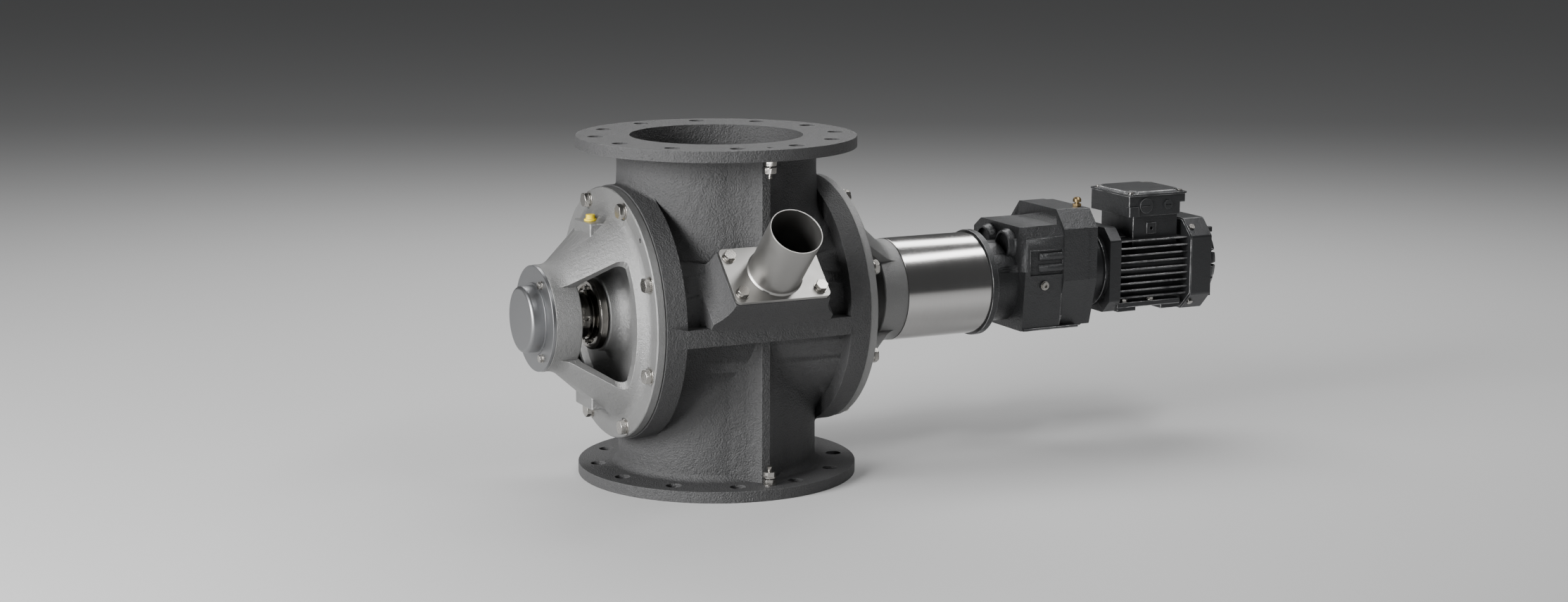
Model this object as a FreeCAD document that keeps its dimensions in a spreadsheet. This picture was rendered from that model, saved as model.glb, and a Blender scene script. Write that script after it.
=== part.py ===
"""Rotary airlock valve with vent flange, coupling guard, helical-inline gearbox and motor.

Units are millimetres. +Z is up, the origin is the centre of the outlet flange's underside, and the
rotor turns about a horizontal line along +X, which points from the free end to the drive.
"""
import FreeCAD
import Part
import Sketcher

import math
import os

Vector = FreeCAD.Vector
Rotation = FreeCAD.Rotation

doc = FreeCAD.newDocument("rotary_airlock_valve")
sheet = doc.addObject("Spreadsheet::Sheet", "Sizes")

# Driving dimensions, each written once
DIMENSIONS = {
    # casing
    "overall_height": 495, "flange_dia": 406, "flange_thick": 16.5, "throat_dia": 250,
    "throat_deep": 60, "throat_cast": 246, "bolt_circle": 350, "bolt_hole": 22,
    "inlet_hole": 22.5, "neck_dia": 288, "neck_flare": 10, "flare_start": 50,
    "neck_blend": 22, "rim_blend": 6, "flange_blend": 11,
    "barrel_dia": 320, "chamber_dia": 296, "body_half": 158, "end_flange_dia": 364,
    "end_flange_thick": 31, "strip_height": 25.5, "strip_top": 1, "rib_reach": 166, "rib_nose": 13,
    "rib_root": 84, "stud_reach": 178,
    # vent branch on the 45 degree pad
    "vent_top": 190, "vent_slope": 83.5, "vent_width": 145, "vent_depth": 92, "vent_plate": 5,
    "vent_corner": 8, "vent_gasket": 1.5, "vent_tube": 76.1, "vent_wall": 2, "vent_port": 76,
    "vent_mouth": 285,
    "vent_bolt_wide": 120, "vent_bolt_deep": 62, "vent_bolt": 10, "pad_sweep": 20, "pad_deep": 64,
    # end covers
    "cover_dia": 360, "cover_thick": 13.5, "spigot_deep": 8, "spigot_gap": 0.2, "recess_dia": 246,
    "recess_floor": 6, "hub_dia": 107, "hub_end": 30, "packing_dia": 70, "cone_root": 305,
    "cone_end": 100, "arm_wall": 9, "window_lip": 13.5, "window_corner": 14, "bearing_house": 152,
    "house_back": 81, "house_end": 120, "cover_bolt_circle": 334, "cover_bolt": 12,
    "purge_level": 134, "purge_half": 30.5, "purge_nose": 51, "purge_spot": 38,
    "groove_deep": 3, "groove_wide": 3,
    "groove_back": 2.5,
    # rotor, shaft and bearings
    "rotor_tip_gap": 0.3, "rotor_hub": 96, "vane_thick": 9, "rotor_shaft": 50, "journal": 45,
    "bearing_dia": 85, "bearing_wide": 19, "running_gap": 0.05, "gland_dia": 101.4,
    "gland_thick": 13, "gland_stand": 2, "collar_dia": 66, "collar_wide": 14,
    # bearing cap
    "cap_flange": 5, "cap_drum": 95, "cap_length": 26, "cap_wall": 4, "cap_screw_circle": 120,
    "cap_screw": 6, "cap_edge": 5, "nut_wide": 6, "shaft_nose": 40,
    # drive lantern and coupling
    "guard_dia": 154, "guard_wall": 4, "guard_length": 142, "coupling_dia": 94, "coupling_hub": 40,
    "coupling_gap": 20, "coupling_start": 14,
    # gearbox
    "disc_dia": 161, "disc_thick": 10, "gear_neck": 124, "case_front": 477, "case_step": 544,
    "case_joint": 580, "case_back": 604, "case_wall": 5, "case_low": 70, "front_top": 88.5,
    "front_shoulder": 73.5, "front_half": 78, "front_flat": 57, "front_foot": 69, "rear_top": 111.5,
    "rear_shoulder": 83.5, "rear_half": 79.5, "rear_flat": 54, "rear_foot": 60,
    "gear_module": 3, "gear_wide": 14, "countershaft": 18, "output_shaft": 35,
    "boss_dia": 43, "boss_recess": 35, "boss_reach": 13, "pinion_seat": 16, "case_waist": 22.5,
    "rear_waist": 4.5, "case_round": 3,
    # motor
    "motor_flange_end": 636, "shield_end": 656, "frame_end": 782, "cowl_end": 820,
    "motor_end": 840, "shield_half": 66, "fin_half": 62, "frame_dia": 106, "frame_bore": 92,
    "stator_bore": 60, "air_gap": 0.5, "motor_shaft": 20, "cowl_half": 71.5, "cowl_wall": 2,
    "fin_pitch": 11, "foot_bolt": 6, "fin_thick": 2.6, "cowl_corner": 26, "seat_front": 690,
    # terminal box
    "box_front": 676, "box_back": 771, "box_half": 54, "box_low": 81, "box_lid_low": 113,
    "lid_thick": 6, "lid_rim": 2.5, "lid_half": 57, "lid_back": 783, "seat_half": 45,
}

ROTOR_VANES = 8
FLANGE_HOLES = 12
COVER_BOLTS = 8
WINDOW_ANGLE = 86
PINION_TEETH = 11
COUNTER_TEETH = 27
OUTPUT_TEETH = 33

for row, (alias, number) in enumerate(DIMENSIONS.items(), 1):
    sheet.set("A%d" % row, alias.replace("_", " "))
    sheet.set("B%d" % row, str(number))
    sheet.setAlias("B%d" % row, alias)
doc.recompute()


class Size:
    """A length that carries its value and the sheet formula that it comes from."""

    def __init__(self, value, text):
        self.value = value
        self.text = text

    def join(self, other, sign, flip=False):
        one, two = (as_size(other), self) if flip else (self, as_size(other))
        value = {"+": lambda a, b: a + b, "-": lambda a, b: a - b,
                 "*": lambda a, b: a * b, "/": lambda a, b: a / b}[sign](one.value, two.value)
        return Size(value, "(%s %s %s)" % (one.text, sign, two.text))

    def __add__(self, other):
        return self.join(other, "+")

    def __radd__(self, other):
        return self.join(other, "+", True)

    def __sub__(self, other):
        return self.join(other, "-")

    def __rsub__(self, other):
        return self.join(other, "-", True)

    def __mul__(self, other):
        return self.join(other, "*")

    def __rmul__(self, other):
        return self.join(other, "*", True)

    def __truediv__(self, other):
        return self.join(other, "/")

    def __neg__(self):
        return Size(-self.value, "(0 - %s)" % self.text)


def as_size(number):
    return number if isinstance(number, Size) else Size(float(number), "%.6f" % number)


class Reader:
    """Reads the driving dimensions from the sheet as sizes."""

    def __getattr__(self, alias):
        return Size(float(sheet.get(alias)), "Sizes." + alias)


s = Reader()
axis = s.overall_height / 2

ALONG = {
    "Z": Rotation(), "-Z": Rotation(Vector(1, 0, 0), 180),
    "X": Rotation(Vector(0, 1, 0), 90), "-X": Rotation(Vector(0, 1, 0), -90),
    "Y": Rotation(Vector(1, 0, 0), -90), "-Y": Rotation(Vector(1, 0, 0), 90),
    "YZ": Rotation(Vector(1, 1, 1), 120), "vent": Rotation(Vector(1, 0, 0), 45),
}
made = {"parts": 0}
nodes = []


def new(kind, stem):
    made["parts"] += 1
    return doc.addObject(kind, "%s_%d" % (stem, made["parts"]))


def bind(thing, path, size):
    thing.setExpression(path, as_size(size).text)


def place(thing, x=0, y=0, z=0, along="Z"):
    """Puts a thing at a point, with its own Z turned to the named direction."""
    turn = along if isinstance(along, Rotation) else ALONG[along]
    point = Vector(as_size(x).value, as_size(y).value, as_size(z).value)
    thing.Placement = FreeCAD.Placement(point, turn)
    for letter, length in zip("xyz", (x, y, z)):
        bind(thing, "Placement.Base." + letter, length)
    return thing


def rod(radius, length, along="Z", x=0, y=0, z=0, sweep=None):
    """A round bar, or a sector of one."""
    bar = new("Part::Cylinder", "rod")
    bind(bar, "Radius", radius)
    bind(bar, "Height", length)
    if sweep:
        bar.Angle = sweep
    return place(bar, x, y, z, along)


def cone(low, high, length, along="Z", x=0, y=0, z=0):
    body = new("Part::Cone", "cone")
    bind(body, "Radius1", low)
    bind(body, "Radius2", high)
    bind(body, "Height", length)
    return place(body, x, y, z, along)


def block(low, high):
    """A rectangular block between two corners."""
    box = new("Part::Box", "block")
    for side, one, two in zip(("Length", "Width", "Height"), low, high):
        bind(box, side, as_size(two) - one)
    return place(box, *low)


def hexagon(flats, length, along="Z", x=0, y=0, z=0):
    prism = new("Part::Prism", "hexagon")
    prism.Polygon = 6
    bind(prism, "Circumradius", as_size(flats) / math.sqrt(3))
    bind(prism, "Height", length)
    return place(prism, x, y, z, along)


def fuse(*things):
    union = new("Part::MultiFuse", "union")
    union.Shapes = list(things)
    union.Refine = True
    return union


def cut(base, *tools):
    tool = tools[0] if len(tools) == 1 else fuse(*tools)
    rest = new("Part::Cut", "cut")
    rest.Base = base
    rest.Tool = tool
    rest.Refine = True
    return rest


def common(one, two):
    overlap = new("Part::MultiCommon", "common")
    overlap.Shapes = [one, two]
    return overlap


def group(*things):
    bundle = new("Part::Compound", "group")
    bundle.Links = list(things)
    return bundle


def rounded(base, radius, pick, kind="Part::Fillet"):
    """Rounds or chamfers the edges of a thing that a test picks."""
    doc.recompute()
    chosen = [number for number, edge in enumerate(base.Shape.Edges, 1) if pick(edge)]
    soft = new(kind, "soft")
    soft.Base = base
    width = as_size(radius).value
    soft.Edges = [(number, width, width) for number in chosen]
    return soft


def outline_sketch(body, plane, outline):
    """Draws a closed outline on one of a body's own planes, each corner set from its origin."""
    sketch = body.newObject("Sketcher::SketchObject", body.Name + "_outline")
    base = [part for part in body.Origin.OriginFeatures if part.Role == plane][0]
    sketch.AttachmentSupport = [(base, "")]
    sketch.MapMode = "FlatFace"
    corners = [(as_size(one), as_size(two)) for one, two in outline]
    spots = [Vector(one.value, two.value, 0) for one, two in corners]
    count = len(spots)
    for index in range(count):
        line = Part.LineSegment(spots[index], spots[(index + 1) % count])
        sketch.addGeometry(line, False)
    for index in range(count):
        follower = (index + 1) % count
        sketch.addConstraint(Sketcher.Constraint("Coincident", index, 2, follower, 1))
    for index, corner in enumerate(corners):
        for kind, line, length in zip(("DistanceX", "DistanceY"), (-2, -1), corner):
            if abs(length.value) < 1e-9:
                sketch.addConstraint(Sketcher.Constraint("PointOnObject", index, 1, line))
                continue
            rule = Sketcher.Constraint(kind, -1, 1, index, 1, length.value)
            number = sketch.addConstraint(rule)
            sketch.setExpression("Constraints[%d]" % number, length.text)
    return sketch


def turned(outline, along="X", x=0, y=0, z=axis):
    """A turned piece: an outline of (radius, distance along the axis) spun about its axis."""
    body = new("PartDesign::Body", "turned")
    sketch = outline_sketch(body, "XZ_Plane", outline)
    spin = body.newObject("PartDesign::Revolution", body.Name + "_spin")
    spin.Profile = sketch
    spin.ReferenceAxis = (sketch, ["V_Axis"])
    spin.Angle = 360
    body.Tip = spin
    return place(body, x, y, z, along)


def slab(outline, thick, along="Z", x=0, y=0, z=0, draft=0):
    """A flat piece: an outline padded along its own Z."""
    body = new("PartDesign::Body", "slab")
    sketch = outline_sketch(body, "XY_Plane", outline)
    pad = body.newObject("PartDesign::Pad", body.Name + "_pad")
    pad.Profile = sketch
    bind(pad, "Length", thick)
    if draft:
        pad.TaperAngle = draft
    body.Tip = pad
    return place(body, x, y, z, along)


def ring(outer, inner, length, along="X", x=0, y=0, z=axis):
    return turned([(inner, 0), (outer, 0), (outer, length), (inner, length)], along, x, y, z)


def around(count, radius, start=0):
    """Pairs of cross distances for places spaced evenly on a circle, first at the start angle."""
    for step in range(count):
        angle = math.radians(start + 360 * step / count)
        yield as_size(radius) * math.cos(angle), as_size(radius) * math.sin(angle)


def node(label, thing):
    """Names a finished sub-part."""
    thing.Label = label
    nodes.append(thing)
    return thing


def hex_bolt(thread, shank, along, x, y, z, washer=0.25):
    """A hexagon bolt whose washer's underside is at the point, pointing outwards."""
    flats = as_size(thread) * 1.6
    out = ALONG[along].multVec(Vector(0, 0, 1))
    lift = as_size(thread) * washer
    head = hexagon(flats, as_size(thread) * 0.62, along,
                   x + lift * out.x, y + lift * out.y, z + lift * out.z)
    disc = rod(flats * 0.63, lift, along, x, y, z)
    depth = as_size(shank)
    stem = rod(as_size(thread) / 2 - 0.2, depth, along,
               x - depth * out.x, y - depth * out.y, z - depth * out.z)
    return fuse(head, disc, stem)


# Casing: one iron casting, with barrel, necks, flanges, ribs, name strip and vent pad
half_flange = s.end_flange_dia / 2
flange_seat = s.overall_height - s.flange_thick
inner_face = s.body_half - s.end_flange_thick
spigot_radius = s.chamber_dia / 2 - s.spigot_gap
chamber_half = s.body_half - s.spigot_deep
vent_seat = s.vent_top - s.vent_plate - s.vent_gasket


def is_curve(edge):
    return edge.Curve.TypeId not in ("Part::GeomCircle", "Part::GeomLine", "Part::GeomHyperbola")


def on_vent(slope_from, level):
    """A point on the vent axis frame, as height and reach from the rotor axis."""
    lean = 1 / math.sqrt(2)
    return -(level + slope_from) * lean, axis + (level - slope_from) * lean


def build_casing():
    barrel = rod(s.barrel_dia / 2, inner_face * 2, "X", -inner_face, 0, axis)
    flare_top = s.overall_height - s.flare_start
    neck = fuse(rod(s.neck_dia / 2, s.overall_height),
                cone(s.neck_dia / 2 + s.neck_flare, s.neck_dia / 2, flare_top - axis, "Z", 0, 0, axis))
    core = rounded(fuse(barrel, neck), s.neck_blend, is_curve)
    flanges = [rod(s.flange_dia / 2, s.flange_thick, "Z", 0, 0, level)
               for level in (0, flange_seat)]
    ends = [rod(half_flange, s.end_flange_thick, "X", start, 0, axis)
            for start in (-s.body_half, inner_face)]
    core = fuse(core, *flanges, *ends)

    def at_flange(edge):
        level = edge.BoundBox.ZMin
        flat = edge.BoundBox.ZLength < 1e-3
        near = min(abs(level - s.flange_thick.value), abs(level - flange_seat.value)) < 1e-3
        return flat and near and abs(edge.BoundBox.XMax - s.neck_dia.value / 2) < 1e-3

    def at_rim(edge):
        box = edge.BoundBox
        return is_curve(edge) and max(-box.XMin, box.XMax) > inner_face.value + 0.5

    core = rounded(core, s.rim_blend, at_rim)
    core = rounded(core, s.flange_blend, at_flange)
    wide, nose = s.rib_root / 2, s.rib_nose / 2
    depth = s.rib_reach - s.neck_dia / 2 + 12
    flank = [(wide, depth * 0.15), (wide * 0.72, depth * 0.35), (wide * 0.46, depth * 0.54),
             (nose + 4, depth * 0.75), (nose, depth)]
    section = [(-wide, 0), (wide, 0)] + flank + [(-one, two) for one, two in flank[::-1]]
    ribs = [slab(section, s.overall_height, turn, 0, side * (s.rib_reach - depth), 0)
            for turn, side in (("Z", 1), (Rotation(Vector(0, 0, 1), 180), -1))]
    top = axis + s.strip_top
    strips = [block((-inner_face, -half_flange, top - s.strip_height),
                    (inner_face, -s.chamber_dia / 2, top)),
              block((-inner_face, s.chamber_dia / 2, top - s.strip_height),
                    (inner_face, half_flange, top))]
    core = fuse(core, *ribs, *strips, vent_pad())
    bores = [rod(s.chamber_dia / 2, s.body_half * 2, "X", -s.body_half, 0, axis),
             rod(s.throat_cast / 2, s.overall_height)]
    bores += [rod(s.throat_dia / 2, s.throat_deep, "Z", 0, 0, level)
              for level in (0, s.overall_height - s.throat_deep)]
    holes = [rod(wide / 2, s.flange_thick, "Z", one, two, level)
             for one, two in around(FLANGE_HOLES, s.bolt_circle / 2, 15)
             for wide, level in ((s.bolt_hole, 0), (s.inlet_hole, flange_seat))]
    taps = [rod(s.cover_bolt / 2, s.end_flange_thick - 5, "X", start, one, axis + two)
            for one, two in around(COVER_BOLTS, s.cover_bolt_circle / 2, 22.5)
            for start in (-s.body_half, inner_face + 5)]
    studs = [rod(5, s.flange_thick, "Z", 0, -s.stud_reach, level) for level in (0, flange_seat)]
    return node("valve_body", cut(core, *bores, *holes, *taps, *studs, *vent_bores(), vent_room()))


def vent_pad():
    """The pad grows from the barrel square to the vent axis, its flanks sweeping out to both sides."""
    reach, level = on_vent(s.vent_slope - s.vent_depth / 2, vent_seat)
    wide, sweep = s.vent_width / 2, s.pad_sweep
    flank = [(wide, 0), (wide + sweep * 0.05, -9), (wide + sweep * 0.2, -20), (wide + sweep * 0.5, -31),
             (wide + sweep, -42), (wide + sweep, -s.pad_deep)]
    section = flank + [(-one, two) for one, two in flank[::-1]]
    return slab(section, s.vent_depth, Rotation(Vector(1, 0, 0), 135), 0, reach, level)


def vent_room():
    """The vent seat is milled flat, also through the top of the front rib."""
    reach, level = on_vent(s.vent_slope, vent_seat)
    wide, deep = s.vent_width / 2 + 1, s.vent_depth / 2 + 1
    section = [(-wide, -deep), (wide, -deep), (wide, deep), (-wide, deep)]
    return slab(section, 20, "vent", 0, reach, level)


def vent_bores():
    reach, level = on_vent(s.vent_slope, vent_seat)
    bores = [rod(s.vent_port / 2, 90, Rotation(Vector(1, 0, 0), 225), 0, reach, level)]
    for side in (-1, 1):
        for slope in (-1, 1):
            reach, level = on_vent(s.vent_slope + slope * s.vent_bolt_deep / 2, vent_seat)
            bores.append(rod(s.vent_bolt / 2, 24, Rotation(Vector(1, 0, 0), 225),
                             side * s.vent_bolt_wide / 2, reach, level))
    return bores


build_casing()


# Vent branch: a stainless plate with a welded tube, bolted over a gasket
def build_vent():
    wide, deep = s.vent_width / 2, s.vent_depth / 2
    reach, level = on_vent(s.vent_slope, s.vent_top - s.vent_plate)
    section = [(-wide, -deep), (wide, -deep), (wide, deep), (-wide, deep)]

    def corner(edge):
        run = edge.Vertexes[0].Point - edge.Vertexes[-1].Point
        return run.Length > 1e-6 and abs(run.x) < 1e-6 and abs(run.y + run.z) < 1e-6

    def sheet_at(radial, thick):
        start = on_vent(s.vent_slope, radial)
        return rounded(slab(section, thick, "vent", 0, *start), s.vent_corner, corner)

    tube_outer = s.vent_tube / 2
    length = s.vent_mouth - s.vent_top
    start = on_vent(s.vent_slope, s.vent_top)
    tube = rod(tube_outer, length, "vent", 0, *start)
    bead = cone(tube_outer + 2.5, tube_outer, 3, "vent", 0, *start)
    bore = rod(tube_outer - s.vent_wall, length + s.vent_plate, "vent", 0, reach, level)

    def clearance_holes(radial, depth):
        for side in (-1, 1):
            for slope in (-1, 1):
                spot = on_vent(s.vent_slope + slope * s.vent_bolt_deep / 2, radial)
                yield rod(s.vent_bolt / 2 + 0.5, depth, "vent", side * s.vent_bolt_wide / 2, *spot)

    plate = sheet_at(s.vent_top - s.vent_plate, s.vent_plate)
    holes = clearance_holes(s.vent_top - s.vent_plate, s.vent_plate)
    node("vent_branch", cut(fuse(plate, tube, bead), bore, *holes))
    gasket = sheet_at(vent_seat, s.vent_gasket)
    opening = rod(s.vent_port / 2, s.vent_gasket, "vent", 0, *on_vent(s.vent_slope, vent_seat))
    node("vent_gasket", cut(gasket, opening, *clearance_holes(vent_seat, s.vent_gasket)))
    bolts = []
    for side in (-1, 1):
        for slope in (-1, 1):
            spot = on_vent(s.vent_slope + slope * s.vent_bolt_deep / 2, s.vent_top)
            bolts.append(hex_bolt(s.vent_bolt, 24, "vent", side * s.vent_bolt_wide / 2, *spot))
    node("vent_bolts", group(*bolts))


build_vent()


# Earth studs at both flanges, each with a lock nut and a clamp nut
def build_earth_studs():
    studs = []
    for face, way in ((s.flange_thick, 1), (flange_seat, -1)):
        turn = "Z" if way > 0 else "-Z"
        reach = s.stud_reach
        stud = rod(4.8, s.flange_thick + 27, turn, 0, -reach, face - way * s.flange_thick)
        washer = rod(9, 1.6, turn, 0, -reach, face)
        nuts = [hexagon(16, 7, turn, 0, -reach, face + way * 1.6),
                hexagon(16, 7, turn, 0, -reach, face + way * 12.2)]
        disc = rod(9, 1.6, turn, 0, -reach, face + way * 10.6)
        studs.append(fuse(stud, washer, disc, *nuts))
    node("earth_studs", group(*studs))


build_earth_studs()


# End covers: light-metal castings, each a flange, a stuffing box and two arms to a bearing house
house_radius = s.bearing_house / 2
house_slope = (s.cone_root / 2 - house_radius) / (s.cone_end - s.cover_thick)


def cover_window(way, start, middle):
    """An opening between the arms: a sector of the cone, its corners rounded at the flange."""
    near, far = s.cover_thick + s.window_lip, s.cone_end + 12
    turn = ALONG[way].multiply(Rotation(Vector(0, 0, 1), middle - WINDOW_ANGLE / 2))
    wedge = rod(s.cover_dia / 2, far - near, turn, start + sign(way) * near, 0, axis, sweep=WINDOW_ANGLE)
    floor = (start + sign(way) * near).value

    def corner(edge):
        flat = edge.BoundBox.XLength < 1e-3 and abs(edge.BoundBox.XMin - floor) < 1e-3
        return flat and edge.Curve.TypeId == "Part::GeomLine"

    return rounded(wedge, s.window_corner, corner)


def build_cover(label, way, start):
    shaft_hole = s.rotor_shaft / 2 + 0.4
    cover, thick, floor = s.cover_dia / 2, s.cover_thick, s.recess_floor
    recess, hub, packing = s.recess_dia / 2, s.hub_dia / 2, s.packing_dia / 2
    plate = turned([
        (shaft_hole, -s.spigot_deep), (spigot_radius, -s.spigot_deep),
        (spigot_radius, -s.groove_back - s.groove_wide),
        (spigot_radius - s.groove_deep, -s.groove_back - s.groove_wide),
        (spigot_radius - s.groove_deep, -s.groove_back), (spigot_radius, -s.groove_back),
        (spigot_radius, 0),
        (cover - 1.5, 0), (cover, 1.5), (cover, thick - 1.5), (cover - 1.5, thick),
        (recess + 4, thick), (recess - 3, floor), (hub + 17, floor), (hub + 5, floor + 6),
        (hub, floor + 15), (hub, s.hub_end - 1.5), (hub - 1.5, s.hub_end), (packing, s.hub_end),
        (packing, 2), (shaft_hole, 2)], way, start)
    foot = thick - 3.5
    root = s.cone_root / 2
    outer = turned([
        (0, foot), (root + 10, foot), (root + 10, thick), (root + 4, thick + 1.2),
        (root - 0.6, thick + 3.4), (root - 7 * house_slope, thick + 7),
        (house_radius + 8 * house_slope, s.cone_end - 8), (house_radius + 3.4, s.cone_end - 2),
        (house_radius + 1, s.cone_end + 4), (house_radius, s.cone_end + 10), (0, s.cone_end + 10)],
        way, start)
    lean = s.arm_wall * 1.3
    inner = turned([(0, -1), (root - lean, -1), (root - lean, thick),
                    (house_radius + 6, s.house_back - 4), (house_radius - 5, s.house_back),
                    (0, s.house_back)], way, start)
    windows = [cover_window(way, start, middle) for middle in (-90, 90)]
    ends = sorted((start + sign(way) * foot, start + sign(way) * s.purge_nose), key=lambda x: x.value)
    purge = [block((ends[0], -s.purge_half, axis + low), (ends[1], s.purge_half, axis + high))
             for low, high in ((house_radius, s.purge_level), (-s.purge_level, -house_radius))]
    arms = cut(fuse(cut(outer, *windows), *purge), inner)
    length = s.house_end - s.house_back
    house = turned([(s.packing_dia / 2, s.house_back), (house_radius - 1.5, s.house_back),
                    (house_radius, s.house_back + 1.5), (house_radius, s.house_end - 1),
                    (house_radius - 1, s.house_end), (s.bearing_dia / 2, s.house_end),
                    (s.bearing_dia / 2, s.house_back + 9), (s.packing_dia / 2, s.house_back + 9)],
                   way, start)
    bore = turned([(0, s.house_back - 1), (s.packing_dia / 2, s.house_back - 1),
                   (s.packing_dia / 2, s.house_back + 9), (s.bearing_dia / 2, s.house_back + 9),
                   (s.bearing_dia / 2, s.house_end + 1), (0, s.house_end + 1)], way, start)
    casting = cut(fuse(plate, arms, house), bore)
    holes = [rod(s.cover_bolt / 2 + 0.5, thick, way, start, one, axis + two)
             for one, two in around(COVER_BOLTS, s.cover_bolt_circle / 2, 22.5)]
    seats = [rod(s.cover_bolt * 1.1, 12, way, start + sign(way) * thick, one, axis + two)
             for one, two in around(COVER_BOLTS, s.cover_bolt_circle / 2, 22.5)]
    jack = [rod(3.4, thick, way, start, one, axis + two)
            for one, two in around(2, s.cover_bolt_circle / 2 + 4, 45 + 90)]
    screws = [rod(s.cap_screw / 2, 14, way, start + sign(way) * (s.house_end - 14), one, axis + two)
              for one, two in around(3, s.cap_screw_circle / 2)]
    tapped = rod(4, 24, "-Z", start + sign(way) * s.purge_spot, 0, axis + s.purge_level)
    seat = rod(9.5, 10, "Z", start + sign(way) * s.purge_spot, 0, axis + s.purge_level)
    node("end_cover_" + label, cut(casting, *holes, *seats, *jack, *screws, tapped, seat))


def sign(way):
    return -1 if way.startswith("-") else 1


SIDES = (("free", "-X", -s.body_half), ("drive", "X", s.body_half))
for label, way, start in SIDES:
    build_cover(label, way, start)


# Cover seals lie in the spigot grooves; hexagon bolts hold the covers to the casing
def cover_seal(way, start):
    back = start - sign(way) * (s.groove_wide + s.groove_back)
    return ring(s.chamber_dia / 2, spigot_radius - s.groove_deep, s.groove_wide, way, back)


def cover_bolts(way, start):
    face = start + sign(way) * s.cover_thick
    return [hex_bolt(s.cover_bolt, s.cover_thick + 22, way, face, one, axis + two)
            for one, two in around(COVER_BOLTS, s.cover_bolt_circle / 2, 22.5)]


def purge_plug(way, start):
    """A yellow plug closes the tapped hole on each upper arm."""
    spot = start + sign(way) * s.purge_spot
    top = axis + s.purge_level
    flange = rod(9, 3, "Z", spot, 0, top)
    head = rod(6.5, 6, "Z", spot, 0, top + 3)
    thread = rod(3.9, 12, "Z", spot, 0, top - 12)
    slot = block((spot - 9, -1.2, top + 5), (spot + 9, 1.2, top + 10))
    return cut(fuse(flange, head, thread), slot)


node("cover_seals", group(*[cover_seal(way, start) for label, way, start in SIDES]))
node("cover_bolts", group(*[bolt for label, way, start in SIDES for bolt in cover_bolts(way, start)]))
node("purge_plugs", group(*[purge_plug(way, start) for label, way, start in SIDES]))


# Shaft seals: packing rings pressed by a gland that two screws pull towards the stuffing box
def build_gland(way, start, packs, glands, studs):
    side = sign(way)
    hub, packing, shaft = s.hub_dia / 2, s.packing_dia / 2, s.rotor_shaft / 2
    bottom, wide = 2, 6
    packs += [ring(packing, shaft + s.running_gap, wide - 0.2, way,
                   start + side * (bottom + step * wide)) for step in range(3)]
    sleeve_start = bottom + 3 * wide
    flange_start = s.hub_end + s.gland_stand
    outer = s.gland_dia / 2
    gland = turned([
        (shaft + 0.4, sleeve_start), (packing - 0.3, sleeve_start), (packing - 0.3, flange_start),
        (outer - 1, flange_start), (outer, flange_start + 1), (outer, flange_start + s.gland_thick - 3),
        (outer - 3, flange_start + s.gland_thick), (outer - 9, flange_start + s.gland_thick),
        (outer - 9, flange_start + s.gland_thick - 3), (packing, flange_start + s.gland_thick - 3),
        (packing, flange_start + s.gland_thick + 4), (shaft + 0.4, flange_start + s.gland_thick + 4)],
        way, start)
    spots = list(around(2, (outer - 9 + packing) / 2, 90))
    face = flange_start + s.gland_thick - 3
    holes = [rod(2.6, s.gland_thick, way, start + side * flange_start, one, axis + two)
             for one, two in spots]
    pockets = [rod(4.9, 8, way, start + side * face, one, axis + two) for one, two in spots]
    glands.append(cut(gland, *holes, *pockets))
    length = s.gland_stand + s.gland_thick + 4
    studs += [fuse(rod(2.5, length, way, start + side * s.hub_end, one, axis + two),
                   hexagon(8, 4, way, start + side * face, one, axis + two)) for one, two in spots]


def build_shaft_seals():
    packs, glands, studs = [], [], []
    for label, way, start in SIDES:
        build_gland(way, start, packs, glands, studs)
    node("packing_rings", group(*packs))
    node("glands", group(*glands))
    node("gland_studs", group(*studs))


build_shaft_seals()


# Sealed ball bearings carry the shaft in the bearing houses
bearing_back = s.house_back + 9


def build_bearings():
    outers, inners = [], []
    middle = s.journal / 2 + 7.5
    for label, way, start in SIDES:
        back = start + sign(way) * bearing_back
        outers.append(ring(s.bearing_dia / 2, middle + s.running_gap, s.bearing_wide, way, back))
        inners.append(ring(middle, s.journal / 2, s.bearing_wide, way, back))
    node("bearing_outer_rings", group(*outers))
    node("bearing_inner_rings", group(*inners))


build_bearings()


# Bearing caps: a domed one at the free end, a ring at the drive that also centres the guard
seat_depth = s.house_end - bearing_back - s.bearing_wide


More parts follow.
